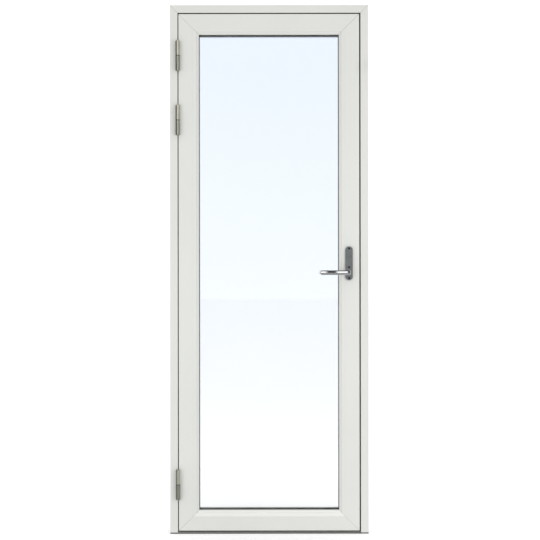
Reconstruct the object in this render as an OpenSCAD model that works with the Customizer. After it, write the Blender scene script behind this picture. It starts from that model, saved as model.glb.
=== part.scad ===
// Single-leaf glazed door in its own frame, closed, without the wall.
// Millimetres. +Z is up, the room is on the -Y side, the weather on the +Y side.
// Origin: middle of the frame's underside. The hinges are on the -X side, the lock on the +X side.

/* [Overall] */
// Outer width of the frame
width = 780; // [600:5:1200]
// Outer height of the frame
height = 2080; // [1700:10:2500]
// Depth of the frame through the wall
depth = 105; // [97:1:160]

/* [Frame] */
// Width of the frame members as seen from the room
frame_face = 30; // [26:1:50]
// How far the stop behind the sash reaches in past the frame's face
stop_lap = 15; // [13:1:20]
// Thickness of the flat sole under the jambs and tread
sole_t = 5; // [4:1:12]
// Height of the tread's front part above the sole
tread_rise = 3.5; // [3:0.5:8]

/* [Sash] */
// Width of the sash members with their glazing beads
sash_face = 80; // [70:1:110]
// Thickness of the timber sash
sash_depth = 62; // [60:1:80]
// Width of the glazing beads
bead_width = 24; // [20:1:30]
// Thickness of one glass pane
pane_t = 4; // [3:1:6]
// Width of the space between two panes
cavity = 12; // [8:1:16]

/* [Gaps] */
// Gap between frame and sash on the hinge side
gap_hinge = 3.5; // [3:0.5:6]
// Gap between frame and sash on the lock side
gap_lock = 5; // [4:0.5:8]
// Gap between frame and sash at the head
gap_top = 4.5; // [3:0.5:8]
// Gap between the tread and the sash
gap_bottom = 3.5; // [3:0.5:10]

/* [Hinges] */
// Diameter of the hinge barrels
barrel_d = 18; // [14:1:24]
// Height of a hinge
hinge_h = 120; // [90:5:160]
// From the top of the frame to the middle of the top hinge
hinge_top = 200; // [150:5:300]
// From the middle of the top hinge to the middle of the one under it
hinge_pair = 253; // [170:1:400]
// From the underside to the middle of the low hinge
hinge_low = 195; // [150:5:300]

/* [Handle] */
// Height of the lever's axis above the underside
handle_z = 1027; // [900:1:1150]
// From the sash's lock edge to the lever's axis
backset = 41; // [38:1:44]
// Length of the lever from its axis
lever_len = 116; // [95:1:135]
// Height of the lever's grip as seen from the room
lever_h = 19; // [15:1:24]
// Width of the handle plate
plate_w = 28.5; // [27:0.5:36]
// Height of the handle plate
plate_h = 133; // [128:1:170]

/* [Lock] */
// Height of the middle bolt above the lever's axis
bolt_up = 38; // [36:1:60]
// Module of the pinion's and the rack's teeth
tooth_m = 1.5; // [1.3:0.1:1.6]
// Height of a bolt
bolt_h = 22; // [18:1:26]

/* [Hidden] */
// Which sub-part to draw
$fn = 64;
e = 0.01;
// radial play of pieces fixed to one another
fit = 0.05;
// radial play of turning pieces
run = 0.08;
// play of sliding pieces on each side
slide = 0.25;
// play between round faces that pass one another
pass = 0.3;
// rounding of the painted timber's edges, cut flat
arris = 1.5;

// room face of frame and sash
y0 = -depth/2;
// room for the compressed seal between the sash and the stop
seal_gap = 4;
stop_v = sash_depth + seal_gap;
stop_face = frame_face + stop_lap;
// cladding: distance from timber to its outer face, sheet thickness
clad_d = 12;
clad_t = 2;
// how far the cladding's inner leg laps the stop
clad_lap = 9;
timber_v = depth - clad_d;
// sash rectangle
sx0 = -width/2 + frame_face + gap_hinge;
sx1 = width/2 - frame_face - gap_lock;
tread_top = sole_t + tread_rise;
sz0 = tread_top + gap_bottom;
sz1 = height - frame_face - gap_top;
sash_r = [sx0, sx1, sz0, sz1];
// frame rectangle whose bottom side puts the stop stop_lap above the sash's lower edge
frame_r = [-width/2, width/2, sz0 + stop_lap - stop_face, height];
upstand = sz0 + stop_lap;
// glazing: timber face, glass unit, gaskets
rebate_u = sash_face - bead_width;
glass_t = 3*pane_t + 2*cavity;
gasket_t = 3;
bead_v = sash_depth - glass_t - 2*gasket_t;
glass_v = bead_v + gasket_t;
glass_play = 6;
glass_u = rebate_u + glass_play;
seal_w = 6;
spacer_w = 6;
// sash cladding starts this far in from the sash edge, clear of the stop
clad_u = stop_lap + 4;
// lock: middle of the faceplate, its width and thickness, and the bolts' thickness
mech_y = y0 + 21.5;
face_w = 20;
face_t = 3;
bolt_t = 8;
bolt_y0 = mech_y - 5.5;
bolt_y1 = bolt_y0 + bolt_t;
rod_y0 = bolt_y1 + pass;
rod_t = 4;
rod_y1 = rod_y0 + rod_t;
teeth = 12;
pitch_r = tooth_m*teeth/2;
travel = pitch_r*PI/2;
pin_r = 3;
pin_u = 9 + travel;
bolt_len = pin_u + 1;
rod_u0 = face_t + slide;
rod_u1 = rod_u0 + 12;
arm_u1 = pin_u + pin_r + 3.5;
rack_u = backset - pitch_r;
tip_r = pitch_r + tooth_m;
// pinion's hub: radius, and how far it stands out of the rod on each side
hub_r = 6.5;
hub_t = 2.3;
// gear case: sheet thickness, height, and its end past the pinion's teeth
case_t = 1.2;
case_h = 2*tip_r + 9;
case_u1 = backset + tip_r + 1.1 + case_t;
case_z0 = handle_z - case_h/2;
case_z1 = handle_z + case_h/2;
// bolt cases: walls above and below, behind and at the end of a bolt
wall_z = 3.5;
wall_y = 2.2;
wall_end = 2;
bolt_case_u1 = bolt_len + 2.5 + wall_end;
lever_x = sx1 - backset;
bolt_z = [sz1 - 300, handle_z + bolt_up, sz0 + 330];
face_z0 = bolt_z[2] - 60;
face_z1 = bolt_z[0] + 60;
rod_z0 = bolt_z[2] - 40;
rod_z1 = bolt_z[0] + 22;
// keep: plate let into the lock jamb's inner face
jamb_x = width/2 - frame_face;
keep_t = 3;
keep_h = 56;
socket_play = 1;
// hinges
leaf_t = 3;
leaf_d = 36;
hinge_x = sx0 - gap_hinge/2;
hinge_y = y0 - barrel_d/2 - 0.5;
hinge_pin_r = barrel_d/2 - 4;
washer_t = 1;
// solid end of a barrel beyond its bore
barrel_end = 6;
hinge_z = [height - hinge_top, height - hinge_top - hinge_pair, hinge_low];
// wall fixings through the jambs
fix_y = y0 + stop_v - 11.5;
fix_n = 4;
fix_z0 = 100;
fix_step = (height - 2*fix_z0 - 20)/(fix_n - 1);
sleeve_r = 7;
sleeve_bore = 4.25;
// screws: shank, length and head
foot_screw = [5, 60, 10];
keep_screw = [4, 22, 7.5];
face_screw = [4, 26, 7.5];
frame_leaf_screw = [4.5, 24, 8.5];
sash_leaf_screw = [4.5, 36, 8.5];
handle_screw = [4.5, 34, 8.5];
// dowels: radius and length
frame_dowel = [5, 30];
stop_dowel = [5, 42];
sash_dowel = [6, 56];
// handle
plate_t = 8;
plate_round = 1.5;
plate_low = 30;
neck_r = 8;
neck_len = 26;
elbow_r = 13;
bow = 10;
grip_t = 9.5;
spindle_w = 8;
spindle_bore = 9;
screw_gap = 21.5;

/* ---- helpers ---- */
// block between two values on each axis
module box(xa, xb, ya, yb, za, zb) translate([xa, ya, za]) cube([xb - xa, yb - ya, zb - za]);

// prism of an X-Z outline, through all depths
module through(pts) translate([0, 400, 0]) rotate([90, 0, 0]) linear_extrude(800) polygon(pts);

// closed rectangular ring inset from rectangle r by u0..u1, from depth v0 to v1
module ring(r, u0, u1, v0, v1) difference() {
  box(r[0] + u0, r[1] - u0, y0 + v0, y0 + v1, r[2] + u0, r[3] - u0);
  box(r[0] + u1, r[1] - u1, y0 + v0 - 1, y0 + v1 + 1, r[2] + u1, r[3] - u1);
}

// straight member of the children's outline (u inward, v away from the room) along one side of r,
// mitred at both ends; jambs stop square at z0 when it is given
module side_hinge(r) intersection() {
  translate([r[0], y0, r[2]]) linear_extrude(r[3] - r[2]) children();
  through([[r[0], r[2]], [r[0] + 200, r[2] + 200], [r[0] + 200, r[3] - 200], [r[0], r[3]]]);
}
module side_lock(r) intersection() {
  translate([r[1], y0, r[2]]) mirror([1, 0, 0]) linear_extrude(r[3] - r[2]) children();
  through([[r[1], r[2]], [r[1] - 200, r[2] + 200], [r[1] - 200, r[3] - 200], [r[1], r[3]]]);
}
module side_top(r) intersection() {
  translate([r[0], y0, r[3]]) rotate([0, 90, 0]) linear_extrude(r[1] - r[0]) children();
  through([[r[0], r[3]], [r[0] + 200, r[3] - 200], [r[1] - 200, r[3] - 200], [r[1], r[3]]]);
}
module side_bottom(r) intersection() {
  translate([r[1], y0, r[2]]) rotate([0, -90, 0]) linear_extrude(r[1] - r[0]) children();
  through([[r[0], r[2]], [r[0] + 200, r[2] + 200], [r[1] - 200, r[2] + 200], [r[1], r[2]]]);
}
// the same for a jamb: mitred at the head only
module jamb_on_hinge_side(z0) intersection() {
  translate([-width/2, y0, z0]) linear_extrude(height - z0) children();
  through([[-width/2, z0], [-width/2 + 200, z0], [-width/2 + 200, height - 200], [-width/2, height]]);
}
module jamb_on_lock_side(z0) intersection() {
  translate([width/2, y0, z0]) mirror([1, 0, 0]) linear_extrude(height - z0) children();
  through([[width/2, z0], [width/2 - 200, z0], [width/2 - 200, height - 200], [width/2, height]]);
}

// countersunk screw of size s = [shank, length, head], its head's top at the origin, pointing along -Z
module screw(s) difference() {
  rotate_extrude() polygon([[0, 0], [s[2]/2, 0], [s[0]/2, -(s[2] - s[0])/2], [s[0]/2, -s[1] + s[0]],
    [0, -s[1]]]);
  // cross recess
  for (a = [0, 90]) rotate(a) box(-s[2]*0.27, s[2]*0.27, -0.45, 0.45, -1.5, 1);
}
module screw_hole(s) rotate_extrude()
  polygon([[0, 0.2], [s[2]/2 + fit, 0.2], [s[2]/2 + fit, -fit], [s[0]/2 + fit, -(s[2] - s[0])/2 - fit],
    [s[0]/2 + fit, -s[1] + s[0]], [0, -s[1] - fit]]);

// outlines of the members: u from the outer edge inward, v from the room face outward
module frame_outline() polygon([[0, 0], [frame_face - arris, 0], [frame_face, arris], [frame_face, stop_v],
  [stop_face, stop_v], [stop_face, timber_v], [0, timber_v]]);
module sash_outline() polygon([[arris, 0], [rebate_u, 0], [rebate_u, sash_depth], [arris, sash_depth],
  [0, sash_depth - arris], [0, arris]]);
// bead: a flat, a small quirk and a slope down to the glass
bead_flat = bead_width - 10;
bead_edge_v = bead_v*0.3;
module bead_outline() polygon([[rebate_u, 0.4], [rebate_u + 0.4, 0], [rebate_u + bead_flat, 0],
  [rebate_u + bead_flat + 0.6, 2], [sash_face - 1.5, bead_edge_v], [sash_face, bead_edge_v + 1.5],
  [sash_face, bead_v], [rebate_u, bead_v]]);
module frame_clad_outline() {
  difference() {
    translate([0, timber_v]) square([stop_face + 1 + clad_t, clad_d]);
    translate([clad_t, timber_v - 1]) square([stop_face + 1 - clad_t, clad_d - clad_t + 1]);
  }
  translate([stop_face + 1, timber_v - clad_lap]) square([clad_t, clad_lap]);
}
module sash_clad_outline() difference() {
  translate([clad_u, sash_depth]) square([sash_face - clad_u, clad_d]);
  translate([clad_u + clad_t, sash_depth - 1]) square([rebate_u - 9 - clad_u - clad_t, 1 + clad_d - clad_t]);
  translate([clad_u + clad_t, sash_depth + clad_t])
    square([sash_face - clad_u - 2*clad_t, clad_d - 2*clad_t]);
}

// across the mitre of the corner of r on side (sx, sz), k in from both edges, at depth v
module across(r, sx, sz, k, v)
  translate([sx < 0 ? r[0] + k : r[1] - k, y0 + v, sz < 0 ? r[2] + k : r[3] - k])
    rotate([0, sx*sz < 0 ? 45 : -45, 0]) children();
// dowel of size s = [radius, length], grown by g for its hole
module dowel(s, g) cylinder(r = s[0] + g, h = s[1] + 2*g, center = true);
module frame_dowel_set(g) for (side = [-1, 1]) {
  for (v = [18, 46]) across(frame_r, side, 1, frame_face/2 + 1, v) dowel(frame_dowel, g);
  across(frame_r, side, 1, stop_face/2 + 0.5, stop_v + 14) dowel(stop_dowel, g);
}
module sash_dowel_set(g) for (side = [-1, 1], end = [-1, 1], v = [14, 46])
  across(sash_r, side, end, rebate_u/2 - 0.5, v) dowel(sash_dowel, g);

foot_x = width/2 - frame_face/2;
module at_foot_screws() for (s = [-1, 1], y = [y0 + 26, y0 + stop_v + 14])
  translate([s*foot_x, y, 0]) mirror([0, 0, 1]) children();
module at_fixings(s) for (i = [0:fix_n - 1]) translate([s*width/2, fix_y, fix_z0 + i*fix_step])
  rotate([0, -s*90, 0]) children();

// turns the lock edge's own axes (x inward from the edge) into the shared ones
module lock_edge() translate([sx1, 0, 0]) mirror([1, 0, 0]) children();

/* ---- frame ---- */
// sinkings of the hinge leaves
module leaf_box_frame(z, g) box(-width/2 + frame_face - leaf_t, -width/2 + frame_face + g,
  y0 - g, y0 + leaf_d, z - hinge_h/2, z + hinge_h/2);
module leaf_box_sash(z, g) box(sx0 - g, sx0 + leaf_t, y0 - g, y0 + leaf_d, z - hinge_h/2, z + hinge_h/2);
module at_leaf_screws_frame() for (z = hinge_z, i = [-1.5:1:1.5])
  translate([-width/2 + frame_face, y0 + (abs(i) > 1 ? 12 : 25), z + i*hinge_h/4])
    rotate([0, 90, 0]) children();
module at_leaf_screws_sash() for (z = hinge_z, i = [-1.5:1:1.5])
  translate([sx0, y0 + (abs(i) > 1 ? 12 : 25), z + i*hinge_h/4])
    rotate([0, -90, 0]) children();
module keep_box(z, g) box(jamb_x - g, jamb_x + keep_t, mech_y - face_w/2, mech_y + face_w/2,
  z - keep_h/2, z + keep_h/2);
module keep_socket(z, deep) box(jamb_x - 1, jamb_x + deep, bolt_y0 - socket_play, bolt_y1 + socket_play,
  z - bolt_h/2 - socket_play, z + bolt_h/2 + socket_play);
module at_keep_screws() for (z = bolt_z, s = [-1, 1]) translate([jamb_x, mech_y, z + s*(keep_h/2 - 7)])
  rotate([0, -90, 0]) children();

// places of the cladding's clips, whose stems are pushed into the timber
module at_frame_clips() {
  for (s = [-1, 1], i = [0:4]) translate([s*(width/2 - 24), y0 + timber_v, 150 + i*(height - 300)/4])
    children();
  for (i = [-1:1]) translate([i*width/3.4, y0 + timber_v, height - 24]) rotate([0, 90, 0]) children();
}
module at_sash_clips() {
  for (x = [sx0 + clad_u + 13, sx1 - clad_u - 13], i = [0:4])
    translate([x, y0 + sash_depth, sz0 + 130 + i*(sz1 - sz0 - 260)/4]) children();
  for (z = [sz0 + clad_u + 13, sz1 - clad_u - 13], i = [-1:1])
    translate([i*(sx1 - sx0)/3.6, y0 + sash_depth, z]) rotate([0, 90, 0]) children();
}
module clip_stem(g) rotate([90, 0, 0]) cylinder(r = 3 + g, h = 9 + g);
module clip() {
  box(-9, 9, 0, clad_d - clad_t, -14, 14);
  clip_stem(0);
}

module jamb_hinge() color("white") difference() {
  jamb_on_hinge_side(sole_t) frame_outline();
  for (z = hinge_z) leaf_box_frame(z, e);
  at_leaf_screws_frame() screw_hole(frame_leaf_screw);
  frame_dowel_set(fit);
  at_foot_screws() screw_hole(foot_screw);
  at_fixings(-1) translate([0, 0, -1]) cylinder(r = sleeve_r + fit, h = frame_face + 2);
  at_frame_clips() clip_stem(fit);
  seal_base(fit);
}
module jamb_lock() color("white") difference() {
  jamb_on_lock_side(sole_t) frame_outline();
  for (z = bolt_z) { keep_box(z, e); keep_socket(z, keep_t + 12); }
  at_keep_screws() screw_hole(keep_screw);
  frame_dowel_set(fit);
  at_foot_screws() screw_hole(foot_screw);
  at_fixings(1) translate([0, 0, -1]) cylinder(r = sleeve_r + fit, h = frame_face + 2);
  at_frame_clips() clip_stem(fit);
  seal_base(fit);
}
module head() color("white") difference() {
  side_top(frame_r) frame_outline();
  frame_dowel_set(fit);
  at_frame_clips() clip_stem(fit);
  seal_base(fit);
}
module frame_dowels() color("burlywood") frame_dowel_set(0);
module threshold_sole() color("dimgray") difference() {
  box(-width/2, width/2, y0, -y0, 0, sole_t);
  at_foot_screws() screw_hole(foot_screw);
}
// hollow tread with the upstand that the sash closes on
module tread_outline() difference() {
  polygon([[y0, sole_t], [y0, tread_top - 1], [y0 + 1, tread_top], [y0 + stop_v, tread_top],
    [y0 + stop_v, upstand], [y0 + stop_v + 14, upstand], [-y0, sole_t + 8], [-y0, sole_t]]);
  polygon([[y0 + stop_v + 8, sole_t + 3], [y0 + stop_v + 8, upstand - 3], [y0 + stop_v + 13, upstand - 3],
    [-y0 - 4, sole_t + 7], [-y0 - 4, sole_t + 3]]);
}
// length of the tread between the jambs, which are wider behind the stop
module tread_part(half, ya, yb) intersection() {
  translate([half, 0, 0]) rotate([90, 0, -90]) linear_extrude(2*half) mirror([1, 0]) tread_outline();
  box(-half, half, ya, yb, 0, upstand + 1);
}
module threshold_tread() color("gray") difference() {
  union() {
    tread_part(width/2 - frame_face, y0, y0 + stop_v);
    tread_part(width/2 - stop_face, y0 + stop_v - e, y0 + timber_v - clad_lap - fit);
    tread_part(width/2 - stop_face - 1 - clad_t, y0 + timber_v - clad_lap - fit - e, -y0);
  }
  seal_base(fit);
}
module foot_screws() color("silver") at_foot_screws() screw(foot_screw);
module frame_clad_hinge() color("whitesmoke") jamb_on_hinge_side(sole_t) frame_clad_outline();
module frame_clad_lock() color("whitesmoke") jamb_on_lock_side(sole_t) frame_clad_outline();
module frame_clad_head() color("whitesmoke") side_top(frame_r) frame_clad_outline();
module frame_clips() color("dimgray") at_frame_clips() clip();
// seal: a foot pushed into the groove of the stop, and a bulb in front of it pressed by the sash
module seal_base(g) ring(frame_r, frame_face + 6.5 - g, frame_face + 9.5 + g, stop_v - e, stop_v + 5 + g);
module frame_seal() color("dimgray") {
  ring(frame_r, frame_face + 6.5, frame_face + 9.5, stop_v - e, stop_v + 5);
  ring(frame_r, frame_face + 5.5, frame_face + 12.5, stop_v - seal_gap + pass, stop_v);
}
module keep(z) difference() {
  keep_box(z, 0);
  keep_socket(z, keep_t + 1);
  at_keep_screws() screw_hole(keep_screw);
}
module keep_plates() color("silver") for (z = bolt_z) keep(z);
module keep_screws() color("silver") at_keep_screws() screw(keep_screw);
module fixing_sleeves() color("silver") for (s = [-1, 1]) at_fixings(s) difference() {
  cylinder(r = sleeve_r, h = frame_face);
  translate([0, 0, -1]) cylinder(r = sleeve_bore, h = frame_face + 2);
}

/* ---- hinges ---- */
// half barrel from its joint face at z = 0 up, cap end chamfered
module knuckle(bore) difference() {
  rotate_extrude() polygon([[0, washer_t/2], [barrel_d/2, washer_t/2], [barrel_d/2, hinge_h/2 - 2],
    [barrel_d/2 - 2, hinge_h/2], [0, hinge_h/2]]);
  cylinder(r = bore, h = hinge_h/2 - barrel_end);
}
module hinge_frame(z) difference() {
  union() {
    translate([hinge_x, hinge_y, z]) mirror([0, 0, 1]) knuckle(hinge_pin_r + fit);
    leaf_box_frame(z, 0);
    difference() {
      box(-width/2 + frame_face - leaf_t, -width/2 + frame_face, hinge_y, y0 + e,
        z - hinge_h/2 + 2, z - washer_t/2);
      translate([hinge_x, hinge_y, z - hinge_h/2 + barrel_end])
        cylinder(r = hinge_pin_r + fit, h = hinge_h/2);
    }
  }
  at_leaf_screws_frame() screw_hole(frame_leaf_screw);
}
module hinge_sash(z) difference() {
  union() {
    translate([hinge_x, hinge_y, z]) knuckle(hinge_pin_r + run);
    leaf_box_sash(z, 0);
    difference() {
      box(sx0, sx0 + leaf_t, hinge_y, y0 + e, z + washer_t/2, z + hinge_h/2 - 2);
      translate([hinge_x, hinge_y, z]) cylinder(r = hinge_pin_r + run, h = hinge_h/2 - barrel_end);
    }
  }
  at_leaf_screws_sash() screw_hole(sash_leaf_screw);
}
module hinge_top_frame() color("darkkhaki") hinge_frame(hinge_z[0]);
module hinge_mid_frame() color("darkkhaki") hinge_frame(hinge_z[1]);
module hinge_low_frame() color("darkkhaki") hinge_frame(hinge_z[2]);
module hinge_top_sash() color("darkkhaki") hinge_sash(hinge_z[0]);
module hinge_mid_sash() color("darkkhaki") hinge_sash(hinge_z[1]);
module hinge_low_sash() color("darkkhaki") hinge_sash(hinge_z[2]);
module hinge_pins() color("silver") for (z = hinge_z)
  translate([hinge_x, hinge_y, z - hinge_h/2 + barrel_end])
    cylinder(r = hinge_pin_r, h = hinge_h - 2*barrel_end - 2);
module hinge_washers() color("dimgray") for (z = hinge_z)
  translate([hinge_x, hinge_y, z - washer_t/2]) difference() {
    cylinder(r = barrel_d/2 - 0.6, h = washer_t);
    translate([0, 0, -1]) cylinder(r = hinge_pin_r + fit, h = washer_t + 2);
  }
module leaf_screws_frame() color("silver") at_leaf_screws_frame() screw(frame_leaf_screw);
module leaf_screws_sash() color("silver") at_leaf_screws_sash() screw(sash_leaf_screw);

/* ---- sash ---- */
module stile_hinge() color("white") difference() {
  side_hinge(sash_r) sash_outline();
  for (z = hinge_z) leaf_box_sash(z, e);
  at_leaf_screws_sash() screw_hole(sash_leaf_screw);
  sash_dowel_set(fit);
  at_sash_clips() clip_stem(fit);
}
module lock_pockets() lock_edge() {
  // groove of the faceplate and of the rod behind it
  box(-e, face_t, mech_y - face_w/2, mech_y + face_w/2, face_z0, face_z1);
  box(face_t - e, rod_u1 + pass, rod_y0 - pass, rod_y1 + pass, rod_z0 - 2, rod_z1 + travel + 2);
  // pockets of the bolt cases and of the rod's slotted arms
  for (z = bolt_z) {
    box(face_t - e, bolt_case_u1, bolt_y0 - wall_y, bolt_y1 + pass,
      z - bolt_h/2 - wall_z, z + bolt_h/2 + wall_z);
    box(face_t - e, arm_u1 + 1, rod_y0 - pass, rod_y1 + pass, z - travel - 12, z + 12 + travel);
  }
  // gear case and rack
  box(face_t - e, case_u1, rod_y0 - hub_t, rod_y1 + hub_t, case_z0, case_z1);
  box(face_t - e, rack_u + 2, rod_y0 - pass, rod_y1 + pass,
    handle_z - travel - 18, handle_z + travel + 14);
  // spindle bore from the room side
  translate([backset, y0 - 1, handle_z]) rotate([-90, 0, 0])
    cylinder(r = spindle_bore, h = mech_y - y0 + 4.5);
}
handle_screw_z = [handle_z + plate_h - plate_low - 8, handle_z + screw_gap, handle_z - screw_gap];
module at_handle_screws() for (z = handle_screw_z)
  translate([lever_x, y0 - plate_t, z]) rotate([90, 0, 0]) children();
face_screw_z = [face_z0 + 12, bolt_z[2] + 40, handle_z - 90, handle_z + 110, bolt_z[0] - 40, face_z1 - 12];
module at_face_screws() lock_edge() for (z = face_screw_z)
  translate([0, mech_y - 3, z]) rotate([0, -90, 0]) children();
module stile_lock() color("white") difference() {
  side_lock(sash_r) sash_outline();
  lock_pockets();
  at_handle_screws() screw_hole(handle_screw);
  at_face_screws() screw_hole(face_screw);
  sash_dowel_set(fit);
  at_sash_clips() clip_stem(fit);
}
module rail_top() color("white") difference() {
  side_top(sash_r) sash_outline();
  sash_dowel_set(fit);
  at_sash_clips() clip_stem(fit);
}
module rail_bottom() color("white") difference() {
  side_bottom(sash_r) sash_outline();
  sash_dowel_set(fit);
  at_sash_clips() clip_stem(fit);
}
module sash_dowels() color("burlywood") sash_dowel_set(0);
module bead_hinge() color("white") side_hinge(sash_r) bead_outline();
module bead_lock() color("white") side_lock(sash_r) bead_outline();
module bead_top() color("white") side_top(sash_r) bead_outline();
module bead_bottom() color("white") side_bottom(sash_r) bead_outline();
module pane(v) box(sx0 + glass_u, sx1 - glass_u, y0 + v, y0 + v + pane_t, sz0 + glass_u, sz1 - glass_u);
module pane_room() color("lightblue", 0.4) pane(glass_v);
module pane_middle() color("lightblue", 0.4) pane(glass_v + pane_t + cavity);
module pane_weather() color("lightblue", 0.4) pane(glass_v + 2*pane_t + 2*cavity);
// ring in each of the two spaces between the panes
module in_cavities(u0, u1) for (k = [0, 1])
  ring(sash_r, u0, u1, glass_v + pane_t + k*(pane_t + cavity), glass_v + (k + 1)*(pane_t + cavity));
module spacers() color("dimgray") in_cavities(glass_u + seal_w, glass_u + seal_w + spacer_w);
module edge_seal() color("dimgray") in_cavities(glass_u, glass_u + seal_w);
module gasket_room() color("dimgray") ring(sash_r, glass_u + 4, sash_face + 2.5, bead_v, glass_v);
module gasket_weather() color("dimgray")
  ring(sash_r, glass_u + 4, sash_face - 3.5, sash_depth - gasket_t, sash_depth);
module glazing_blocks() color("dimgray") {
  va = y0 + glass_v + 1;
  vb = y0 + sash_depth - gasket_t - 1;
  for (x = [sx0 + 190, sx1 - 190]) {
    box(x - 50, x + 50, va, vb, sz0 + rebate_u, sz0 + glass_u);
    box(x - 50, x + 50, va, vb, sz1 - glass_u, sz1 - rebate_u);
  }
  for (z = [sz0 + 240, sz1 - 240]) {
    box(sx0 + rebate_u, sx0 + glass_u, va, vb, z - 50, z + 50);
    box(sx1 - glass_u, sx1 - rebate_u, va, vb, z - 50, z + 50);
  }
}
module sash_clad_hinge() color("whitesmoke") side_hinge(sash_r) sash_clad_outline();
module sash_clad_lock() color("whitesmoke") side_lock(sash_r) sash_clad_outline();
module sash_clad_top() color("whitesmoke") side_top(sash_r) sash_clad_outline();
module sash_clad_bottom() color("whitesmoke") side_bottom(sash_r) sash_clad_outline();
module sash_clips() color("dimgray") at_sash_clips() clip();

/* ---- lock ---- */
module faceplate() color("silver") difference() {
  lock_edge() difference() {
    box(0, face_t, mech_y - face_w/2, mech_y + face_w/2, face_z0, face_z1);
    for (z = bolt_z) box(-1, face_t + 1, bolt_y0 - slide, bolt_y1 + slide,
      z - bolt_h/2 - slide, z + bolt_h/2 + slide);
  }
  at_face_screws() screw_hole(face_screw);
}
module faceplate_screws() color("silver") at_face_screws() screw(face_screw);
module gear_case() color("silver") lock_edge() difference() {
  box(face_t, case_u1, rod_y0 - hub_t, rod_y1 + hub_t, case_z0, case_z1);
  box(face_t - 1, case_u1 - case_t, rod_y0 - pass, rod_y1 + pass, case_z0 - 1, case_z1 + 1);
  translate([backset, rod_y0 - 9, handle_z]) rotate([-90, 0, 0]) cylinder(r = hub_r + run, h = 30);
}
module bolt_cases() color("silver") lock_edge() for (z = bolt_z) difference() {
  box(face_t, bolt_case_u1, bolt_y0 - wall_y, bolt_y1, z - bolt_h/2 - wall_z, z + bolt_h/2 + wall_z);
  box(face_t - 1, bolt_case_u1 - wall_end, bolt_y0 - slide, bolt_y1 + 1,
    z - bolt_h/2 - slide, z + bolt_h/2 + slide);
}
// bolt with the pin that rides in the rod's slanted slot
module bolt(z) lock_edge() {
  box(1, bolt_len + 1, bolt_y0, bolt_y1, z - bolt_h/2, z + bolt_h/2);
  translate([pin_u - 1, bolt_y1 - 1, z]) rotate([-90, 0, 0]) cylinder(r = pin_r, h = 1 + pass + rod_t);
}
module bolt_upper() color("silver") bolt(bolt_z[0]);
module bolt_middle() color("silver") bolt(bolt_z[1]);
module bolt_lower() color("silver") bolt(bolt_z[2]);

// angle swept by the involute of a circle of radius rb where it reaches radius r, in degrees
function involute(r, rb) = let (a = acos(rb/r)) tan(a)*180/PI - a;
pressure = 20;
base_r = pitch_r*cos(pressure);
dedendum = 1.25*tooth_m;
root_r = pitch_r - dedendum;
tooth_play = 0.16;
half_base = 90/teeth + involute(pitch_r, base_r) - tooth_play/2/pitch_r*180/PI;
steps = 5;
flank = [for (i = [0:steps]) base_r + (tip_r - base_r)*i/steps];
function polar(r, a) = [r*cos(a), r*sin(a)];
gear_pts = [for (k = [0:teeth - 1]) let (c = k*360/teeth) each concat(
  [polar(root_r, c - half_base)], [for (r = flank) polar(r, c - half_base + involute(r, base_r))],
  [for (i = [steps:-1:0]) let (r = flank[i]) polar(r, c + half_base - involute(r, base_r))],
  [polar(root_r, c + half_base)])];
rack_step = PI*tooth_m;
rack_add = 0.65*tooth_m;
// teeth along +Z with flat flanks, a space level with the lever's axis at rest
rack_n0 = -floor((travel + 12)/rack_step) - 1;
rack_n1 = floor(11/rack_step);
rack_w = rack_step/4 - tooth_play/2;
rack_foot = rack_w + dedendum*tan(pressure);
rack_tip = rack_w - rack_add*tan(pressure);
rack_pts = concat(
  [[rod_u0, rack_n0*rack_step], [rack_u - dedendum, rack_n0*rack_step]],
  [for (k = [rack_n0:rack_n1]) let (c = (k + 0.5)*rack_step) each [
    [rack_u - dedendum, c - rack_foot], [rack_u + rack_add, c - rack_tip],
    [rack_u + rack_add, c + rack_tip], [rack_u - dedendum, c + rack_foot]]],
  [[rack_u - dedendum, (rack_n1 + 1)*rack_step], [rod_u0, (rack_n1 + 1)*rack_step]]);
// plate of the children's outline standing in the X-Z plane, from ya to yb
module xz_plate(ya, yb) translate([0, yb, 0]) rotate([90, 0, 0]) linear_extrude(yb - ya) children();
// slot with round ends between two points
module slot_line(a, b, r) translate(a) rotate(atan2(b[1] - a[1], b[0] - a[0])) {
  translate([0, -r]) square([norm(b - a), 2*r]);
  circle(r);
  translate([norm(b - a), 0]) circle(r);
}
module drive_rod() color("silver") lock_edge() difference() {
  xz_plate(rod_y0, rod_y1) {
    translate([rod_u0, rod_z0]) square([rod_u1 - rod_u0, rod_z1 - rod_z0]);
    for (z = bolt_z) translate([rod_u0, z - travel - 10]) square([arm_u1 - rod_u0, travel + 20]);
    translate([0, handle_z]) polygon(rack_pts);
  }
  for (z = bolt_z) xz_plate(rod_y0 - 1, rod_y1 + 1)
    slot_line([pin_u - 1, z], [pin_u - 1 - travel, z - travel], pin_r + slide);
}
// square bar along Y, grown by g for its hole
module spindle_bar(ya, yb, g)
  box(-spindle_w/2 - g, spindle_w/2 + g, ya, yb, -spindle_w/2 - g, spindle_w/2 + g);
module pinion() color("silver") {
  lock_edge() translate([backset, 0, handle_z]) difference() {
    union() {
      xz_plate(rod_y0, rod_y1) rotate(180) polygon(gear_pts);
      translate([0, rod_y0 - hub_t, 0]) rotate([-90, 0, 0]) cylinder(r = hub_r, h = rod_t + 2*hub_t);
    }
    spindle_bar(rod_y0 - 5, rod_y1 + 5, fit);
  }
}
spindle_y = y0 - plate_t - neck_len + 9;
module spindle() color("silver") translate([lever_x, 0, handle_z])
  spindle_bar(spindle_y, rod_y1 + hub_t, 0);

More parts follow.
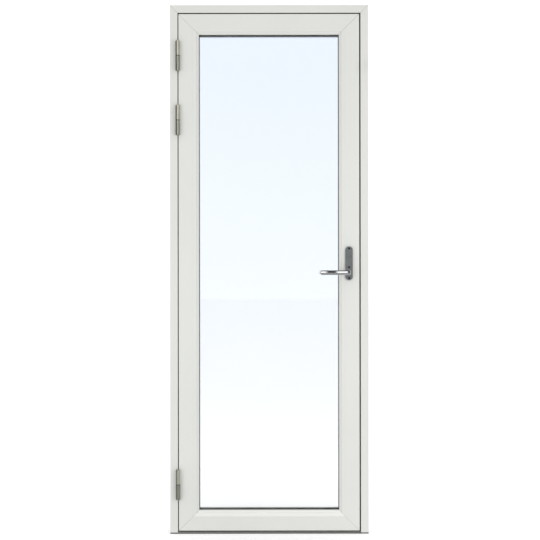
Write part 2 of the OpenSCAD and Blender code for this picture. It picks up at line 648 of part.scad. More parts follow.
/* ---- handle ---- */
// upright outline with round ends
module stadium(w, za, zb) {
  translate([-w/2, za + w/2]) square([w, zb - za - w]);
  for (z = [za + w/2, zb - w/2]) translate([0, z]) circle(w/2);
}
module handle_plate() color("silver") difference() {
  // layers that draw in towards the front like a rounded edge
  translate([lever_x, y0, handle_z]) rotate([90, 0, 0]) for (a = [0:30:90])
    linear_extrude(plate_t - plate_round*(1 - sin(a)))
      stadium(plate_w - 2*plate_round*(1 - cos(a)), -plate_low + plate_round*(1 - cos(a)),
        plate_h - plate_low - plate_round*(1 - cos(a)));
  translate([lever_x, y0 + 1, handle_z]) rotate([90, 0, 0]) cylinder(r = neck_r + pass, h = plate_t + 2);
  at_handle_screws() screw_hole(handle_screw);
}
module handle_screws() color("silver") at_handle_screws() screw(handle_screw);
// section of the grip, drawn in by g
module grip_section(g) {
  square([grip_t - 2*g, lever_h - grip_t], center = true);
  for (s = [-1, 1]) translate([0, s*(lever_h - grip_t)/2]) circle(grip_t/2 - g);
}
// neck's inner end, start of the bend, radius of the bow, and half the tip's width
neck_y = y0 - plate_t + 3;
elbow_y = y0 - plate_t - neck_len;
bow_r = (lever_len - elbow_r*(1 - cos(90 - bow)))/(2*sin(bow));
end_r = lever_h/2 + 0.2;
// round neck, tight bend and bowed grip, each reaching a little into the next
module lever() color("gainsboro") translate([lever_x, 0, handle_z]) difference() {
  union() {
    translate([0, neck_y, 0]) rotate([90, 0, 0]) cylinder(r = neck_r, h = neck_y - elbow_y - 7);
    translate([0, elbow_y + 7.5, 0]) rotate([90, 0, 0]) cylinder(r1 = neck_r, r2 = grip_t/2 - 0.1, h = 9);
    translate([-elbow_r, elbow_y, 0]) rotate([0, 0, -90 + bow]) rotate_extrude(angle = 90 - bow)
      translate([elbow_r, 0]) grip_section(0);
    translate([-elbow_r + (elbow_r - bow_r)*sin(bow), elbow_y + (bow_r - elbow_r)*cos(bow), 0])
      rotate([0, 0, -90 - bow]) rotate_extrude(angle = 2*bow + 0.1) translate([bow_r, 0]) grip_section(0.1);
  }
  // square hole of the spindle
  spindle_bar(spindle_y, 0, fit);
  // round end of the grip
  difference() {
    box(-lever_len - 5, -lever_len + end_r, elbow_y - 40, elbow_y + 20, -lever_h, lever_h);
    translate([-lever_len + end_r, elbow_y + 30, 0]) rotate([90, 0, 0]) cylinder(r = end_r, h = 80);
  }
}

jamb_hinge();
jamb_lock();
head();
frame_dowels();
threshold_sole();
threshold_tread();
foot_screws();
frame_clad_hinge();
frame_clad_lock();
frame_clad_head();
frame_clips();
frame_seal();
keep_plates();
keep_screws();
fixing_sleeves();
hinge_top_frame();
hinge_mid_frame();
hinge_low_frame();
hinge_pins();
hinge_washers();
leaf_screws_frame();
stile_hinge();
stile_lock();
rail_top();
rail_bottom();
sash_dowels();
bead_hinge();
bead_lock();
bead_top();
bead_bottom();
pane_room();
pane_middle();
pane_weather();
spacers();
edge_seal();
gasket_room();
gasket_weather();
glazing_blocks();
sash_clad_hinge();
sash_clad_lock();
sash_clad_top();
sash_clad_bottom();
sash_clips();
hinge_top_sash();
hinge_mid_sash();
hinge_low_sash();
leaf_screws_sash();
faceplate();
faceplate_screws();
gear_case();
bolt_cases();
handle_plate();
handle_screws();
lever();
spindle();
pinion();
drive_rod();
bolt_upper();
bolt_middle();
bolt_lower();
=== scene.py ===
"""A single-leaf glazed door in its own frame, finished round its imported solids. Lengths are in metres."""
import math

import bpy
import numpy as np
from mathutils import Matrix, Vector


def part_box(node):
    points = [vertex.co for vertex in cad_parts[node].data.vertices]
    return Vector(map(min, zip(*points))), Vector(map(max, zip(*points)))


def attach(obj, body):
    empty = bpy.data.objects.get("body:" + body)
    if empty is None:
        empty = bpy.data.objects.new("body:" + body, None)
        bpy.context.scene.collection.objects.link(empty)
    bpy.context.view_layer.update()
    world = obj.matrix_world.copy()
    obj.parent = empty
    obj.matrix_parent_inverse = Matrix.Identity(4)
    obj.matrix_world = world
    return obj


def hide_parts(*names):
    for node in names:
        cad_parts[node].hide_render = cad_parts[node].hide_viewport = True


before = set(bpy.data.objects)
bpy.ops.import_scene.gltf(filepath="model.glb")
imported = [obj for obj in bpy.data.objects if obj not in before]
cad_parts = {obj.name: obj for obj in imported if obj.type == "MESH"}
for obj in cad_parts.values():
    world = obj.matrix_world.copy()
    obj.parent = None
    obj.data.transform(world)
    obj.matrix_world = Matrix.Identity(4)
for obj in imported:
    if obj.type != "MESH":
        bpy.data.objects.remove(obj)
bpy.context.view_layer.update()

# ---------------------------------------------------------------- frame timber
# Two jambs and a head, planed from pine and mitred at the top corners, where dowels hold them. They are
# sprayed at the works with three coats of white lacquer, so only a trace of the grain stands through.


def new_finish(name, colour, rough, metal=0.0, **sockets):
    """A material with its constants set on the shader's own sockets, and what its patterns are wired to."""
    material = bpy.data.materials.new(name)
    material.use_nodes = True
    tree = material.node_tree
    shader = tree.nodes["Principled BSDF"]
    shader.inputs["Base Color"].default_value = (*colour, 1.0)
    shader.inputs["Roughness"].default_value = rough
    shader.inputs["Metallic"].default_value = metal
    for socket, value in sockets.items():
        shader.inputs[socket.replace("_", " ")].default_value = value
    return material, tree, shader, tree.nodes.new("ShaderNodeTexCoord").outputs["Object"]


def feed(tree, value, socket):
    """Wires an output into a socket, or writes a number there."""
    if isinstance(value, (int, float)):
        socket.default_value = value
    else:
        tree.links.new(value, socket)


def reckon(tree, operation, *values):
    """One sum on numbers or outputs."""
    node = tree.nodes.new("ShaderNodeMath")
    node.operation = operation
    for value, socket in zip(values, node.inputs):
        feed(tree, value, socket)
    return node.outputs[0]


def blend(tree, one, share, other):
    """A share of one output and the rest of another, one * share + other * (1 - share)."""
    one, other = reckon(tree, "MULTIPLY", one, share), reckon(tree, "MULTIPLY", other, 1 - share)
    return reckon(tree, "ADD", one, other)


def mottle(tree, place, patch, stretch=(1, 1, 1), detail=3.0):
    """Noise from 0 to 1 with patches of the given size, drawn out by the stretch along each axis."""
    mapping = tree.nodes.new("ShaderNodeMapping")
    mapping.inputs["Scale"].default_value = [1 / (patch * s) for s in stretch]
    tree.links.new(place, mapping.inputs["Vector"])
    noise = tree.nodes.new("ShaderNodeTexNoise")
    noise.inputs["Scale"].default_value = 1.0
    noise.inputs["Detail"].default_value = detail
    tree.links.new(mapping.outputs["Vector"], noise.inputs["Vector"])
    return noise.outputs["Fac"]


def tint(tree, shader, amount, low, high, start=0.3, end=0.7):
    """Base colour running from low to high as the amount goes from start to end."""
    ramp = tree.nodes.new("ShaderNodeValToRGB")
    for stop, where, colour in zip(ramp.color_ramp.elements, (start, end), (low, high)):
        stop.position = where
        stop.color = (*colour, 1.0)
    tree.links.new(amount, ramp.inputs["Fac"])
    tree.links.new(ramp.outputs["Color"], shader.inputs["Base Color"])
    return ramp.color_ramp


def ranged(tree, amount, start, end, low, high):
    """A number that runs evenly from low to high as the amount goes from start to end, and stays there."""
    span = tree.nodes.new("ShaderNodeMapRange")
    for socket, value in zip(("From Min", "From Max", "To Min", "To Max"), (start, end, low, high)):
        span.inputs[socket].default_value = value
    tree.links.new(amount, span.inputs["Value"])
    return span.outputs["Result"]


def sheen_band(tree, shader, amount, low, high):
    """Roughness running from low to high as the amount goes from 0.3 to 0.7."""
    tree.links.new(ranged(tree, amount, 0.3, 0.7, low, high), shader.inputs["Roughness"])


def apart(tree, place):
    """The three coordinates of a place, named X, Y and Z."""
    parts = tree.nodes.new("ShaderNodeSeparateXYZ")
    tree.links.new(place, parts.inputs[0])
    return parts.outputs


def relief(tree, shader, height, depth, under=None):
    """Bump whose height of 1 stands depth metres proud, on top of another bump if one is given."""
    bump = tree.nodes.new("ShaderNodeBump")
    bump.inputs["Distance"].default_value = depth
    tree.links.new(height, bump.inputs["Height"])
    if under is not None:
        tree.links.new(under, bump.inputs["Normal"])
    tree.links.new(bump.outputs["Normal"], shader.inputs["Normal"])
    return bump.outputs["Normal"]


def coat(material, *nodes):
    """Gives the material to carried-over solids."""
    for name in nodes:
        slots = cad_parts[name].data.materials
        slots.clear()
        slots.append(material)


def on_line(tree, distance, half_width):
    """1 where the distance is nought, falling to 0 at half_width."""
    share = reckon(tree, "DIVIDE", reckon(tree, "ABSOLUTE", distance), half_width)
    return reckon(tree, "MAXIMUM", reckon(tree, "SUBTRACT", 1.0, share), 0.0)


def lacquer(name, low, high, along, corners, rebate):
    """White lacquer on timber: cloudy by a hundredth, a raised trace of grain along the member, fine spray
    texture, and a hairline across each mitre, where |x - middle| and z run in step from the corner. In the
    rebates, deeper than y = front and between two widths in from the edge, the white is darkened to grey as
    painted shade."""
    material, tree, shader, place = new_finish(name, low, 0.32, IOR=1.5)
    cloud = mottle(tree, place, 0.25)
    grain = mottle(tree, place, 0.004, (1, 1, 40) if along == "z" else (40, 1, 1), 4.0)
    spray = mottle(tree, place, 0.0015, detail=1.0)
    xyz = apart(tree, place)
    middle, half, bottom, top = corners
    front, least, most = rebate
    across = reckon(tree, "ABSOLUTE", reckon(tree, "SUBTRACT", xyz["X"], middle))
    inward = reckon(tree, "SUBTRACT", half, across)

    # the hairlines, and the depth in from the nearest outer edge
    hairline = 0.0007
    down = reckon(tree, "SUBTRACT", top, xyz["Z"])
    lines = on_line(tree, reckon(tree, "SUBTRACT", inward, down), hairline)
    inmost = reckon(tree, "MINIMUM", inward, down)
    if bottom is not None:
        climb = reckon(tree, "SUBTRACT", xyz["Z"], bottom)
        low_lines = on_line(tree, reckon(tree, "SUBTRACT", inward, climb), hairline)
        lines = reckon(tree, "MAXIMUM", lines, low_lines)
        inmost = reckon(tree, "MINIMUM", inmost, climb)
    # painted shade: faces deep in the rebates are darkened to grey, standing in for the dark gap round the
    # sash
    rebate_shade = reckon(tree, "GREATER_THAN", xyz["Y"], front)
    rebate_shade = reckon(tree, "MULTIPLY", rebate_shade, reckon(tree, "GREATER_THAN", inmost, least))
    rebate_shade = reckon(tree, "MULTIPLY", rebate_shade, reckon(tree, "LESS_THAN", inmost, most))

    # under 0 the painted rebate shade, then the dirt in a hairline, then the cloudy white
    shade = reckon(tree, "SUBTRACT", reckon(tree, "SUBTRACT", blend(tree, cloud, 0.8, grain), lines), rebate_shade)
    # the first grey is painted shade for the rebates, the second the dirt in the mitre hairlines
    rebate_shade_grey, dirt = (tuple(share * c for c in low) for share in (0.38, 0.62))
    ramp = tint(tree, shader, shade, rebate_shade_grey, high, 0.0, 0.62)
    for where, colour in ((0.02, dirt), (0.36, low)):
        ramp.elements.new(where).color = (*colour, 1.0)
    sheen_band(tree, shader, cloud, 0.28, 0.36)
    groove = relief(tree, shader, reckon(tree, "SUBTRACT", 1.0, lines), 0.0004)
    raised = relief(tree, shader, grain, 0.00003, groove)
    relief(tree, shader, spray, 0.00001, raised)
    return material


def both_ways(kind, white, corners, rebate):
    """The lacquer with its grain running up, and the same running across."""
    return (lacquer(f"{kind}_lacquer_upright", *white, "z", corners, rebate),
            lacquer(f"{kind}_lacquer_level", *white, "x", corners, rebate))


low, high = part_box("head")
frame_top = high.z
frame_corners = (0.0, (high.x - low.x) / 2, None, frame_top)
# how far in from the room face the painted rebate shade starts, and how far from the edge the rebate and the
# stop begin
unshaded_lip, rebate_in, stop_in = 0.003, 0.0285, 0.0465
frame_rebate = (low.y + unshaded_lip, rebate_in, stop_in)
frame_white = ((0.775, 0.780, 0.745), (0.790, 0.795, 0.762))
upright, level = both_ways("frame", frame_white, frame_corners, frame_rebate)
coat(upright, "jamb_hinge", "jamb_lock")
coat(level, "head")

# ---------------------------------------------------------------- dowels
# Fluted beech dowels glued across each mitre of the frame and of the sash. They are never seen once the
# corner is closed, and stay as raw wood.


def raw(name, colour, rough, low, high, depth, *noise, stops=(0.3, 0.7)):
    """A finish in which one noise, given as for mottle, makes both the tint and the relief."""
    material, tree, shader, place = new_finish(name, colour, rough)
    grit = mottle(tree, place, *noise)
    tint(tree, shader, grit, low, high, *stops)
    relief(tree, shader, grit, depth)
    return material


coat(raw("beech_dowel", (0.55, 0.38, 0.22), 0.6, (0.47, 0.31, 0.17), (0.62, 0.45, 0.27), 0.0001,
         0.0015, (6, 1, 6), 4.0),
     "frame_dowels", "sash_dowels")

# ---------------------------------------------------------------- threshold
# A dark fibre-filled plastic sole runs the full width under the jambs. On it lies a hollow aluminium tread,
# anodised grey, whose upstand at the back is the lower stop of the sash.

coat(raw("sole_plastic", (0.10, 0.10, 0.10), 0.55, (0.085, 0.085, 0.084), (0.125, 0.125, 0.122), 0.00008,
         0.0012, (3, 1, 1), 2.0),
     "threshold_sole")

anodised, tree, shader, place = new_finish("tread_anodised", (0.28, 0.28, 0.27), 0.38, 0.85)
drawn = mottle(tree, place, 0.0006, (400, 1, 1), 3.0)
cloud = mottle(tree, place, 0.12)
tint(tree, shader, blend(tree, drawn, 0.6, cloud), (0.42, 0.42, 0.39), (0.53, 0.53, 0.49))
sheen_band(tree, shader, drawn, 0.32, 0.46)
relief(tree, shader, drawn, 0.00003)
coat(anodised, "threshold_tread")

# ---------------------------------------------------------------- cladding
# Extruded aluminium lengths, powder coated white, that cover the weather side of frame and sash. They are
# cut to a mitre and pushed onto nylon clips.

powder, tree, shader, place = new_finish("clad_powder", (0.76, 0.76, 0.73), 0.42)
peel = mottle(tree, place, 0.0022, detail=1.5)
cloud = mottle(tree, place, 0.3)
tint(tree, shader, cloud, (0.745, 0.75, 0.72), (0.775, 0.78, 0.75))
sheen_band(tree, shader, peel, 0.36, 0.46)
relief(tree, shader, peel, 0.00005)
coat(powder, "frame_clad_hinge", "frame_clad_lock", "frame_clad_head",
     "sash_clad_hinge", "sash_clad_lock", "sash_clad_top", "sash_clad_bottom")

nylon = raw("clip_nylon", (0.03, 0.03, 0.03), 0.5, (0.024, 0.024, 0.024), (0.045, 0.045, 0.045), 0.00004,
            0.0008)
coat(nylon, "frame_clips", "sash_clips")

# ---------------------------------------------------------------- stop seal
# A grey-black rubber bulb round the stop of the frame, extruded in one length and pushed by its foot into a
# sawn groove. The sash closes on it.

rubber, tree, shader, place = new_finish("seal_rubber", (0.05, 0.05, 0.048), 0.62)
bloom = mottle(tree, place, 0.02)
skin = mottle(tree, place, 0.0006)
tint(tree, shader, bloom, (0.042, 0.042, 0.040), (0.066, 0.066, 0.063))
sheen_band(tree, shader, bloom, 0.55, 0.70)
relief(tree, shader, skin, 0.00003)
coat(rubber, "frame_seal")

# ---------------------------------------------------------------- sash timber
# Two stiles and two rails of the same lacquered pine, with mitred and dowelled corners. The lock stile is
# routed for the rod, the bolts and the gear case, and the hinge stile for the hinge leaves.

low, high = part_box("stile_hinge")[0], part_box("stile_lock")[1]
sash_middle, sash_half = (low.x + high.x) / 2, (high.x - low.x) / 2
sash_corners = (sash_middle, sash_half, low.z, high.z)
sash_white = ((0.780, 0.790, 0.755), (0.797, 0.805, 0.772))
# only the outer edge of the sash, half a millimetre deep, is darkened as painted shade
edge_out, edge_in = -0.001, 0.0005
sash_rebate = (low.y + unshaded_lip, edge_out, edge_in)
upright, level = both_ways("sash", sash_white, sash_corners, sash_rebate)
coat(upright, "stile_hinge", "stile_lock")
coat(level, "rail_top", "rail_bottom")

# ---------------------------------------------------------------- glazing beads
# Four small mouldings, lacquered before they are cut, that hold the glass unit in from the room side. They
# meet in mitres and are pinned to the rebate.

upright, level = both_ways("bead", sash_white, sash_corners, sash_rebate)
coat(upright, "bead_hinge", "bead_lock")
coat(level, "bead_top")
# painted light: the bottom bead faces up and gets a lighter white, as if lit more from above
sill_lit_white = ((0.885, 0.895, 0.860), (0.900, 0.908, 0.875))
coat(lacquer("bead_lacquer_sill_lit", *sill_lit_white, "x", sash_corners, sash_rebate), "bead_bottom")

# ---------------------------------------------------------------- glass unit
# Three panes of 4 mm float glass, 12 mm apart. Black warm-edge spacers part them, and a black sealant closes
# the edge. Float glass carries a faint long wave from its rollers.


def float_glass(name, low, high):
    """Clear float glass whose colour runs from low at its foot to high at its head, a painted reflection of a
    blue sky at the head, with a wave of about a hand's length and smooth enough to throw back a sharp
    picture."""
    material, tree, shader, place = new_finish(name, low, 0.0, IOR=1.5, Transmission_Weight=1.0)
    foot, head = (corner.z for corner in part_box("pane_room"))
    # painted reflection: the share of sky blue climbs towards the head of the pane
    climb = ranged(tree, apart(tree, place)["Z"], foot, head, 0.0, 1.0)
    cloud = mottle(tree, place, 0.5, detail=1.0)
    share = reckon(tree, "ADD", climb, reckon(tree, "MULTIPLY", cloud, 0.15))
    tint(tree, shader, share, low, high, 0.15, 1.0)
    wave = mottle(tree, place, 0.16, (1, 1, 3), 1.0)
    relief(tree, shader, wave, 0.00001)
    return material


# the blue at each pane's head is a painted reflection of the sky
clear, painted_sky_blue = (0.985, 0.990, 0.996), (0.925, 0.952, 0.992)
coat(float_glass("glass_room_side", clear, painted_sky_blue), "pane_room")
coat(float_glass("glass_middle_pane", clear, painted_sky_blue), "pane_middle")
coat(float_glass("glass_weather_side", (0.982, 0.990, 0.993), (0.922, 0.952, 0.990)), "pane_weather")

coat(raw("spacer_black", (0.03, 0.03, 0.03), 0.45, (0.022, 0.022, 0.022), (0.05, 0.05, 0.05), 0.0001,
         0.002, (1, 1, 1), 1.0, stops=(0.45, 0.6)),
     "spacers")
coat(raw("edge_sealant", (0.02, 0.02, 0.02), 0.7, (0.015, 0.015, 0.015), (0.035, 0.035, 0.034), 0.0003,
         0.006),
     "edge_seal")

# Black rubber gaskets grip the unit on both sides, and plastic packers carry its weight in the rebate.

gasket, tree, shader, place = new_finish("glazing_rubber", (0.03, 0.03, 0.03), 0.55)
skin = mottle(tree, place, 0.0005)
bloom = mottle(tree, place, 0.03)
tint(tree, shader, bloom, (0.022, 0.022, 0.022), (0.045, 0.045, 0.044))
relief(tree, shader, skin, 0.00003)
coat(gasket, "gasket_room", "gasket_weather")

coat(raw("packer_plastic", (0.05, 0.10, 0.06), 0.5, (0.04, 0.085, 0.05), (0.07, 0.13, 0.08), 0.00005, 0.001),
     "glazing_blocks")

# ---------------------------------------------------------------- hinges
# Three lift-off hinges of pressed steel, zinc plated to a dull yellow grey. The half with the pin is let into
# the jamb, the half above it into the stile, and a nylon washer carries the sash between them.


def plated(name, low, high, rough, metal=1.0, along="z", line=0.0004, depth=0.00002):
    """Plated steel: clouded by the bath, with fine drawn lines along one axis."""
    material, tree, shader, place = new_finish(name, low, rough[0], metal)
    stretch = {"x": (60, 1, 1), "y": (1, 60, 1), "z": (1, 1, 60)}[along]
    drawn = mottle(tree, place, line, stretch, 2.0)
    cloud = mottle(tree, place, 0.02, detail=4.0)
    tint(tree, shader, cloud, low, high)
    sheen_band(tree, shader, blend(tree, drawn, 0.5, cloud), *rough)
    relief(tree, shader, drawn, depth)
    return material


def darken_joint_and_shade_edge(material, hinges, reach, wall):
    """Darker zinc within reach of the joint where a hinge's halves meet, and a painted dark reflection within
    wall of the barrel's outer side, |z - joint| < reach or x - left < wall."""
    tree = material.node_tree
    shader = tree.nodes["Principled BSDF"]
    xyz = apart(tree, tree.nodes.new("ShaderNodeTexCoord").outputs["Object"])
    dark = None
    for lower, upper in hinges:
        joint = (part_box(lower)[1].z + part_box(upper)[0].z) / 2
        line = on_line(tree, reckon(tree, "SUBTRACT", xyz["Z"], joint), reach)
        dark = line if dark is None else reckon(tree, "MAXIMUM", dark, line)
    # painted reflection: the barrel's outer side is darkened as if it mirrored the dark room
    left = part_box(hinges[0][1])[0].x
    edge = on_line(tree, reckon(tree, "SUBTRACT", xyz["X"], left), wall)
    edge_shade_weight, cover = 1.3, 0.8
    dark = reckon(tree, "ADD", dark, reckon(tree, "MULTIPLY", edge, edge_shade_weight))
    dark = reckon(tree, "MULTIPLY", reckon(tree, "MINIMUM", dark, 1.0), cover)
    zinc = shader.inputs["Base Color"].links[0].from_socket
    joint_dark_and_edge_shade = tree.nodes.new("ShaderNodeMix")
    joint_dark_and_edge_shade.data_type = "RGBA"
    tree.links.new(dark, joint_dark_and_edge_shade.inputs["Factor"])
    tree.links.new(zinc, joint_dark_and_edge_shade.inputs["A"])
    joint_dark_and_edge_shade.inputs["B"].default_value = (0.10, 0.10, 0.085, 1.0)
    tree.links.new(joint_dark_and_edge_shade.outputs["Result"], shader.inputs["Base Color"])


hinge_pairs = [(f"hinge_{place}_frame", f"hinge_{place}_sash") for place in ("top", "mid", "low")]
# painted light: one zinc in two copies, darker on the frame half and lighter on the sash half
frame_zinc_shaded = plated("hinge_zinc_frame_shaded", (0.50, 0.51, 0.43), (0.60, 0.61, 0.52), (0.26, 0.42))
sash_zinc_lit = plated("hinge_zinc_sash_lit", (0.73, 0.73, 0.62), (0.84, 0.84, 0.72), (0.26, 0.42))
for lower, upper in hinge_pairs:
    coat(frame_zinc_shaded, lower)
    coat(sash_zinc_lit, upper)
for zinc in (frame_zinc_shaded, sash_zinc_lit):
    darken_joint_and_shade_edge(zinc, hinge_pairs, reach=0.003, wall=0.006)
coat(plated("pin_steel", (0.50, 0.50, 0.50), (0.60, 0.60, 0.60), (0.15, 0.3)), "hinge_pins")
coat(nylon, "hinge_washers")

# ---------------------------------------------------------------- screws, sleeves and keeps
# Countersunk steel screws, bright zinc plated, hold hinges, keeps, faceplate and plate. Threaded sleeves set
# the jambs off from the wall, and three pressed keeps take the bolts.

coat(plated("screw_zinc", (0.55, 0.55, 0.53), (0.66, 0.66, 0.64), (0.22, 0.40), along="y"),
     "foot_screws", "leaf_screws_frame", "leaf_screws_sash", "keep_screws", "faceplate_screws")
coat(plated("sleeve_zinc", (0.42, 0.42, 0.36), (0.52, 0.52, 0.46), (0.3, 0.5), along="x"), "fixing_sleeves")
coat(plated("keep_zinc", (0.52, 0.52, 0.50), (0.62, 0.62, 0.60), (0.26, 0.42)), "keep_plates")

# ---------------------------------------------------------------- lock
# A long flat faceplate covers a sliding rod in the edge of the stile. A pinion on the spindle lifts the rod,
# and three slanted slots in it push the bolts out into the keeps.

coat(plated("lock_zinc", (0.50, 0.50, 0.48), (0.60, 0.60, 0.58), (0.25, 0.40)),
     "faceplate", "gear_case", "bolt_cases", "drive_rod")
coat(plated("bolt_nickel", (0.52, 0.51, 0.48), (0.62, 0.61, 0.58), (0.16, 0.30), along="x"),
     "bolt_upper", "bolt_middle", "bolt_lower")
coat(plated("gear_sintered", (0.26, 0.26, 0.26), (0.36, 0.36, 0.35), (0.35, 0.5), line=0.0008),
     "pinion", "spindle")

# ---------------------------------------------------------------- handle plate
# A die-cast plate with round ends, satin plated and brushed along its length, screwed through the stile
# with three screws coloured near black as painted shade in their recesses.

satin = plated("plate_satin", (0.28, 0.30, 0.305), (0.35, 0.37, 0.375), (0.30, 0.42),
               line=0.0003, depth=0.00003)
coat(satin, "handle_plate")
# painted shade: the screw heads are made near black for the shadow in their recesses
coat(plated("screw_painted_shade", (0.055, 0.055, 0.055), (0.09, 0.09, 0.09), (0.30, 0.45), along="y"),
     "handle_screws")

# ---------------------------------------------------------------- lever
# One casting in zinc, polished and chromium plated. A round neck comes out of the plate, turns towards the
# hinges in a tight bend and runs on as a flat oval grip with a slight bow and a rounded end.


def placed(name, data):
    """An object in the scene that holds the given mesh, lamp or camera."""
    thing = bpy.data.objects.new(name, data)
    bpy.context.scene.collection.objects.link(thing)
    return thing


def swept(name, line, across, up, half_thick, half_high, power):
    """Tube round a line of points: at each point the section is a superellipse of half_thick along `across`
    and half_high along `up`, |a/half_thick|^power + |b/half_high|^power = 1. A fan of triangles to one point
    closes each end."""
    rows, ring = len(line), 64
    around = np.linspace(0, 2 * math.pi, ring, endpoint=False)
    c, s = np.cos(around)[None, :], np.sin(around)[None, :]
    k = 2 / power[:, None]
    a = half_thick[:, None] * np.sign(c) * np.abs(c) ** k
    b = half_high[:, None] * np.sign(s) * np.abs(s) ** k
    points = line[:, None, :] + a[..., None] * across[:, None, :] + b[..., None] * up[:, None, :]
    i, j = np.meshgrid(np.arange(rows - 1), np.arange(ring), indexing="ij")
    n = (j + 1) % ring
    sides = np.stack([i * ring + j, (i + 1) * ring + j, (i + 1) * ring + n, i * ring + n], -1).reshape(-1, 4)
    j, n, last = j[0], n[0], (rows - 1) * ring
    foot = np.stack([j, n, np.full(ring, rows * ring)], -1)
    tip_fan = np.stack([last + n, last + j, np.full(ring, rows * ring + 1)], -1)
    corners = np.concatenate([points.reshape(-1, 3), line[:1], line[-1:]])
    mesh = bpy.data.meshes.new(name)
    mesh.from_pydata(corners.tolist(), [], sides.tolist() + foot.tolist() + tip_fan.tolist())
    mesh.validate()
    mesh.shade_smooth()
    return placed(name, mesh)


def closed_end(run, tip, cap):
    """1 up to a cap's length before the tip, then a quarter circle down to nought at the tip itself."""
    past = np.clip(run - (tip - cap), 0, None) / cap
    return np.sqrt(np.clip(1 - past ** 2, 1e-6, 1))


lever_low, lever_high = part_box("lever")
spindle_low, spindle_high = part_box("spindle")
axis = (spindle_low + spindle_high) / 2
plate_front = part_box("handle_plate")[0].y
grip_high = lever_high.z - lever_low.z
grip_thick = 0.0095
neck_radius = 0.008
bend_radius = 0.013
bow_angle = math.radians(10)
neck_length = 0.0258
length = axis.x - lever_low.x

# the middle line: out along the neck, round the bend, and along the bow, as distance run from the plate
bow_radius = (length - bend_radius * (1 - math.sin(bow_angle))) / (2 * math.sin(bow_angle))
bend_run = bend_radius * (math.pi / 2 - bow_angle)
bow_run = bow_radius * 2 * bow_angle
inside_plate = -0.004
bow_start = neck_length + bend_run
tip = bow_start + bow_run
cap = grip_high / 2
run = np.concatenate([
    np.linspace(inside_plate, neck_length, 24, endpoint=False),
    np.linspace(neck_length, bow_start, 28, endpoint=False),
    np.linspace(bow_start, tip - cap, 60, endpoint=False),
    tip - cap + cap * np.sin(np.linspace(0, math.pi / 2, 26)),
])
in_bend = np.clip((run - neck_length) / bend_radius, 0, math.pi / 2 - bow_angle)
in_bow = np.clip((run - neck_length - bend_run) / bow_radius, 0, 2 * bow_angle)
turn = in_bend + in_bow
straight = np.minimum(run, neck_length)
bow_centre = np.array([-bend_radius + (bend_radius - bow_radius) * math.sin(bow_angle),
                       -neck_length + (bow_radius - bend_radius) * math.cos(bow_angle)])
x = np.where(in_bow > 0, bow_centre[0] + bow_radius * np.cos(turn), -bend_radius + bend_radius * np.cos(turn))
y = np.where(in_bow > 0, bow_centre[1] - bow_radius * np.sin(turn),
             -straight - bend_radius * np.sin(turn))
line = np.stack([axis.x + x, plate_front + y, np.full_like(run, axis.z)], -1)
across = np.stack([np.cos(turn), -np.sin(turn), np.zeros_like(run)], -1)
up = np.tile([0.0, 0.0, 1.0], (len(run), 1))

# the section: round in the neck, easing into the flat oval over the bend, closing round at the tip
ease_from, ease_over = 0.35 * neck_length, 0.65 * neck_length + 0.6 * bend_run
ease = np.clip((run - ease_from) / ease_over, 0, 1)
ease = ease * ease * (3 - 2 * ease)
half_thick = (neck_radius + (grip_thick / 2 - neck_radius) * ease) * closed_end(run, tip, 0.4 * cap)
half_high = (neck_radius + (grip_high / 2 - neck_radius) * ease) * closed_end(run, tip, cap)
# a power of 2 is a true oval, and the grip is a little squarer
power = 2 + 0.7 * ease
bow_lever = swept("bow_lever", line, across, up, half_thick, half_high, power)

chrome, tree, shader, place = new_finish("lever_chrome", (0.80, 0.81, 0.82), 0.07, 1.0)
hairs = mottle(tree, place, 0.0002, (40, 1, 1), 2.0)
hands = mottle(tree, place, 0.012, detail=3.0)
tint(tree, shader, hands, (0.76, 0.77, 0.78), (0.84, 0.85, 0.86))
sheen_band(tree, shader, blend(tree, hairs, 0.5, hands), 0.05, 0.12)
relief(tree, shader, hairs, 0.000002)
bow_lever.data.materials.append(chrome)
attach(bow_lever, "handle")
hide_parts("lever")

# ---------------------------------------------------------------- room
# The door stands on a plain pale floor in front of a white room, under soft light from both sides, and is
# seen straight on from the middle of its height.


def ray_kinds(tree):
    """Two outputs: 1 for a ray that left a painted face in any direction, and 1 for a ray that was thrown
    back by metal or paint. Both are 0 for a ray that goes straight or meets glass."""
    path = tree.nodes.new("ShaderNodeLightPath").outputs
    plain = reckon(tree, "MAXIMUM", path["Is Transmission Ray"], path["Is Singular Ray"])
    thrown = reckon(tree, "MULTIPLY", path["Is Glossy Ray"], reckon(tree, "SUBTRACT", 1.0, plain))
    return path["Is Diffuse Ray"], thrown


floor_half = 40.0
floor_corners = [(x * floor_half, y * floor_half, 0) for x, y in ((-1, -1), (1, -1), (1, 1), (-1, 1))]
floor_mesh = bpy.data.meshes.new("floor")
floor_mesh.from_pydata(floor_corners, [], [(0, 1, 2, 3)])
floor = placed("floor", floor_mesh)

# it glows a little: more on painted faces and not at all in mirrors, and its white is held back for both
floor_white, darker = 0.90, 0.55
own_glow, extra_glow = 0.275, 0.255
paint, tree, shader, place = new_finish("floor_paint", (floor_white,) * 3, 0.9)
shader.inputs["Emission Color"].default_value = (1, 1, 1, 1)
soft, thrown = ray_kinds(tree)
glow = reckon(tree, "ADD", own_glow, reckon(tree, "MULTIPLY", soft, extra_glow))
glow = reckon(tree, "SUBTRACT", glow, reckon(tree, "MULTIPLY", thrown, own_glow))
feed(tree, glow, shader.inputs["Emission Strength"])
loss = reckon(tree, "MULTIPLY", reckon(tree, "ADD", soft, thrown), darker)
feed(tree, reckon(tree, "SUBTRACT", floor_white, loss), shader.inputs["Base Color"])
floor_mesh.materials.append(paint)

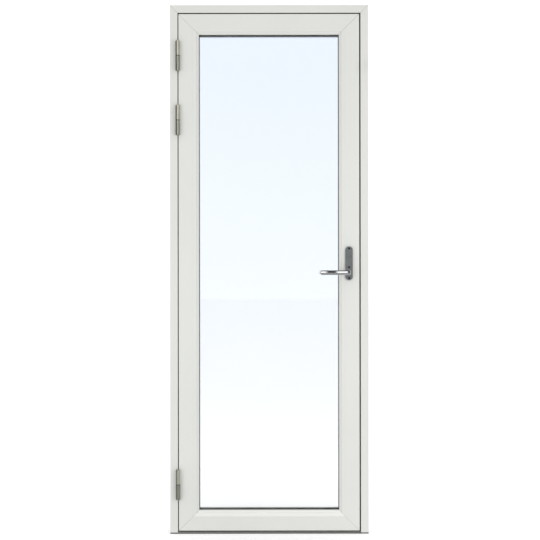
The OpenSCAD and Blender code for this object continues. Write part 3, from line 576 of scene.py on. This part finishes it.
world = bpy.data.worlds.new("room")
bpy.context.scene.world = world
world.use_nodes = True
sky = world.node_tree
heading = apart(sky, sky.nodes.new("ShaderNodeTexCoord").outputs["Generated"])
sideways = reckon(sky, "ABSOLUTE", heading["X"])
upwards = reckon(sky, "ABSOLUTE", heading["Z"])
# the strength of the white behind the door, as it is seen
seen = 1.08


def fading(value, full, none):
    """1 while the value is under full, falling evenly to 0 at none."""
    return ranged(sky, value, full, none, 1.0, 0.0)


# polished metal mirrors two tall bright windows with a dark pier between them, and a dim room round them
dusk, daylight = 0.08, 1.35
window = reckon(sky, "MULTIPLY", fading(upwards, 0.25, 0.50), fading(sideways, 0.45, 0.75))
window = reckon(sky, "MULTIPLY", window, reckon(sky, "SUBTRACT", 1.0, fading(sideways, 0.09, 0.17)))
mirrored = reckon(sky, "ADD", dusk, reckon(sky, "MULTIPLY", window, daylight - dusk))
# painted faces are lit evenly, a little more from above than from the side
even, overhead = 0.61, 0.42
above = reckon(sky, "MAXIMUM", heading["Z"], 0.0)
cast = reckon(sky, "ADD", even, reckon(sky, "MULTIPLY", above, overhead))
strength = seen
for ray, light in zip(ray_kinds(sky), (cast, mirrored)):
    change = reckon(sky, "MULTIPLY", ray, reckon(sky, "SUBTRACT", seen, light))
    strength = reckon(sky, "SUBTRACT", strength, change)
sky.nodes["Background"].inputs["Color"].default_value = (1, 1, 1, 1)
sky.links.new(strength, sky.nodes["Background"].inputs["Strength"])


def soft_light(name, place, aim, size, power):
    """A lamp that faces a point and isn't seen itself."""
    data = bpy.data.lights.new(name, "AREA")
    data.shape = "RECTANGLE"
    data.size, data.size_y = size
    data.energy = power
    lamp = placed(name, data)
    lamp.location = place
    lamp.rotation_mode = "QUATERNION"
    lamp.rotation_quaternion = (Vector(aim) - Vector(place)).to_track_quat("-Z", "Y")
    lamp.visible_camera = lamp.visible_transmission = lamp.visible_glossy = False


middle_height = frame_top / 2
side_aim, side_size = (0, 0, 0.7 * middle_height), (1.2, 1.2)
soft_light("lamp_left", (-1.9, -2.2, 0.85), side_aim, side_size, 9)
soft_light("lamp_right", (1.9, -2.2, 0.85), side_aim, side_size, 13)
soft_light("lamp_weather", (0.8, 2.6, 4.6), (0, 0, middle_height), (2.0, 2.0), 12)

# the frame fills 528.6 parts in 540 of the view, and the camera stands a hair to the right, low and tilted
camera_data = bpy.data.cameras.new("camera")
camera = placed("camera", camera_data)
distance = 5.0
film_width = 36
aside, lowered, roll = 0.0031, 0.0023, math.radians(0.065)
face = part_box("jamb_hinge")[0].y
shown = frame_top * 540 / 528.6
camera_data.sensor_width = film_width
camera_data.lens = film_width * distance / shown
aim = Vector((aside, face, middle_height - lowered))
camera.location = aim - Vector((0, distance, 0))
camera.rotation_euler = (math.pi / 2, roll, 0)
camera_data.clip_end = 100
bpy.context.scene.camera = camera
bpy.context.scene.view_settings.view_transform = "Standard"
